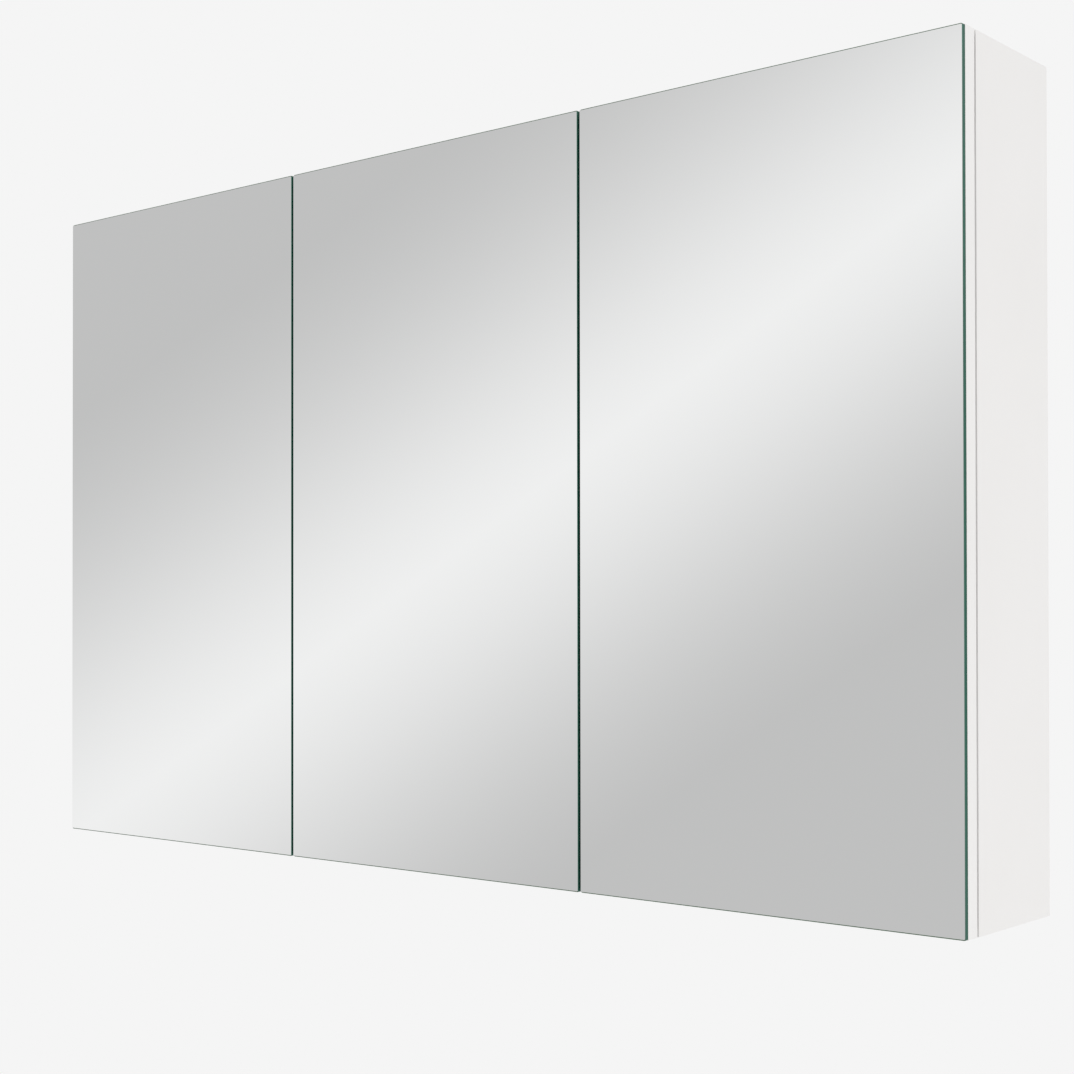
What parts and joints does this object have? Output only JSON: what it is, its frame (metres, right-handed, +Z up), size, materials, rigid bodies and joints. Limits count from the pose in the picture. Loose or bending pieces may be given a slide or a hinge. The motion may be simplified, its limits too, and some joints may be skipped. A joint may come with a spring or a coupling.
{
  "type": "mirror cabinet",
  "caption": "Wide wall cabinet in white board with frameless mirror doors on cup hinges, glass shelves on pins and hangers that hook on wall plates.",
  "frame": {"origin": "on the wall plane, in the middle of the wall plates' four screw holes", "axes": "+X to the viewer's right, +Y into the wall, +Z up; the mirrors face -Y"},
  "size_m": [1.2, 0.16, 0.745],
  "materials": {
    "white_board": "white melamine-faced particle board, satin",
    "mirror_glass": "silvered float glass, polished green edge",
    "clear_glass": "clear float glass, polished edges",
    "hinge_steel": "nickel-plated pressed steel",
    "zinc_steel": "bright zinc-plated steel",
    "white_plastic": "fine-grained white plastic",
    "buffer": "soft translucent buffer",
    "beech_dowel": "fluted beech"
  },
  "bodies": {
    "root": {"left_side_panel": "white_board", "right_side_panel": "white_board", "top_panel": "white_board", "bottom_panel": "white_board", "left_partition": "white_board", "right_partition": "white_board", "back_panel": "white_board", "carcass_dowels": "beech_dowel", "shelf_pins": "hinge_steel", "left_lower_shelf": "clear_glass", "left_upper_shelf": "clear_glass", "middle_lower_shelf": "clear_glass", "middle_upper_shelf": "clear_glass", "right_lower_shelf": "clear_glass", "right_upper_shelf": "clear_glass", "left_hanger_housing": "white_plastic", "left_hanger_hook": "zinc_steel", "left_wall_plate": "zinc_steel", "right_hanger_housing": "white_plastic", "right_hanger_hook": "zinc_steel", "right_wall_plate": "zinc_steel", "hanger_screws": "zinc_steel", "left_hinge_arms": "hinge_steel", "left_hinge_plates": "hinge_steel", "middle_hinge_arms": "hinge_steel", "middle_hinge_plates": "hinge_steel", "right_hinge_arms": "hinge_steel", "right_hinge_plates": "hinge_steel", "hinge_arm_pins": "hinge_steel", "hinge_plate_screws": "zinc_steel", "hinge_adjusters": "zinc_steel"},
    "left_outer_links": {"left_outer_links": "hinge_steel"},
    "left_door": {"left_door_board": "white_board", "left_mirror": "mirror_glass", "left_door_buffers": "buffer", "left_hinge_cups": "hinge_steel", "left_cup_screws": "zinc_steel", "left_cup_pins": "hinge_steel"},
    "left_inner_links": {"left_inner_links": "hinge_steel"},
    "middle_outer_links": {"middle_outer_links": "hinge_steel"},
    "middle_door": {"middle_door_board": "white_board", "middle_mirror": "mirror_glass", "middle_door_buffers": "buffer", "middle_hinge_cups": "hinge_steel", "middle_cup_screws": "zinc_steel", "middle_cup_pins": "hinge_steel"},
    "middle_inner_links": {"middle_inner_links": "hinge_steel"},
    "right_outer_links": {"right_outer_links": "hinge_steel"},
    "right_door": {"right_door_board": "white_board", "right_mirror": "mirror_glass", "right_door_buffers": "buffer", "right_hinge_cups": "hinge_steel", "right_cup_screws": "zinc_steel", "right_cup_pins": "hinge_steel"},
    "right_inner_links": {"right_inner_links": "hinge_steel"}
  },
  "joints": [
    {"name": "left_outer_link_turn", "type": "hinge", "parent": "root", "child": "left_outer_links", "pos_m": [-0.5667, -0.1261, -0.3025], "axis": [0, 0, 1], "range_deg": [0, 48.59]},
    {"name": "left_door_swing", "type": "hinge", "parent": "left_outer_links", "child": "left_door", "pos_m": [-0.5876, -0.1415, -0.3025], "axis": [0, 0, -1], "range_deg": [0, 143.54]},
    {"name": "left_inner_link_turn", "type": "hinge", "parent": "left_door", "child": "left_inner_links", "pos_m": [-0.5842, -0.1468, -0.3025], "axis": [0, 0, 1], "range_deg": [0, 116.05]},
    {"name": "middle_outer_link_turn", "type": "hinge", "parent": "root", "child": "middle_outer_links", "pos_m": [-0.1657, -0.1261, -0.3025], "axis": [0, 0, 1], "range_deg": [0, 48.59]},
    {"name": "middle_door_swing", "type": "hinge", "parent": "middle_outer_links", "child": "middle_door", "pos_m": [-0.1866, -0.1415, -0.3025], "axis": [0, 0, -1], "range_deg": [0, 143.54]},
    {"name": "middle_inner_link_turn", "type": "hinge", "parent": "middle_door", "child": "middle_inner_links", "pos_m": [-0.1832, -0.1468, -0.3025], "axis": [0, 0, 1], "range_deg": [0, 116.05]},
    {"name": "right_outer_link_turn", "type": "hinge", "parent": "root", "child": "right_outer_links", "pos_m": [0.5667, -0.1261, -0.3025], "axis": [0, 0, -1], "range_deg": [0, 48.59]},
    {"name": "right_door_swing", "type": "hinge", "parent": "right_outer_links", "child": "right_door", "pos_m": [0.5876, -0.1415, -0.3025], "axis": [0, 0, 1], "range_deg": [0, 143.54]},
    {"name": "right_inner_link_turn", "type": "hinge", "parent": "right_door", "child": "right_inner_links", "pos_m": [0.5842, -0.1468, -0.3025], "axis": [0, 0, -1], "range_deg": [0, 116.05]}
  ],
  "couplings": [
    {"joint": "left_outer_link_turn", "follows": "left_door_swing", "ratio": 0.33819},
    {"joint": "left_inner_link_turn", "follows": "left_door_swing", "ratio": 0.80807},
    {"joint": "middle_outer_link_turn", "follows": "middle_door_swing", "ratio": 0.33819},
    {"joint": "middle_inner_link_turn", "follows": "middle_door_swing", "ratio": 0.80807},
    {"joint": "right_outer_link_turn", "follows": "right_door_swing", "ratio": 0.33819},
    {"joint": "right_inner_link_turn", "follows": "right_door_swing", "ratio": 0.80807}
  ]
}
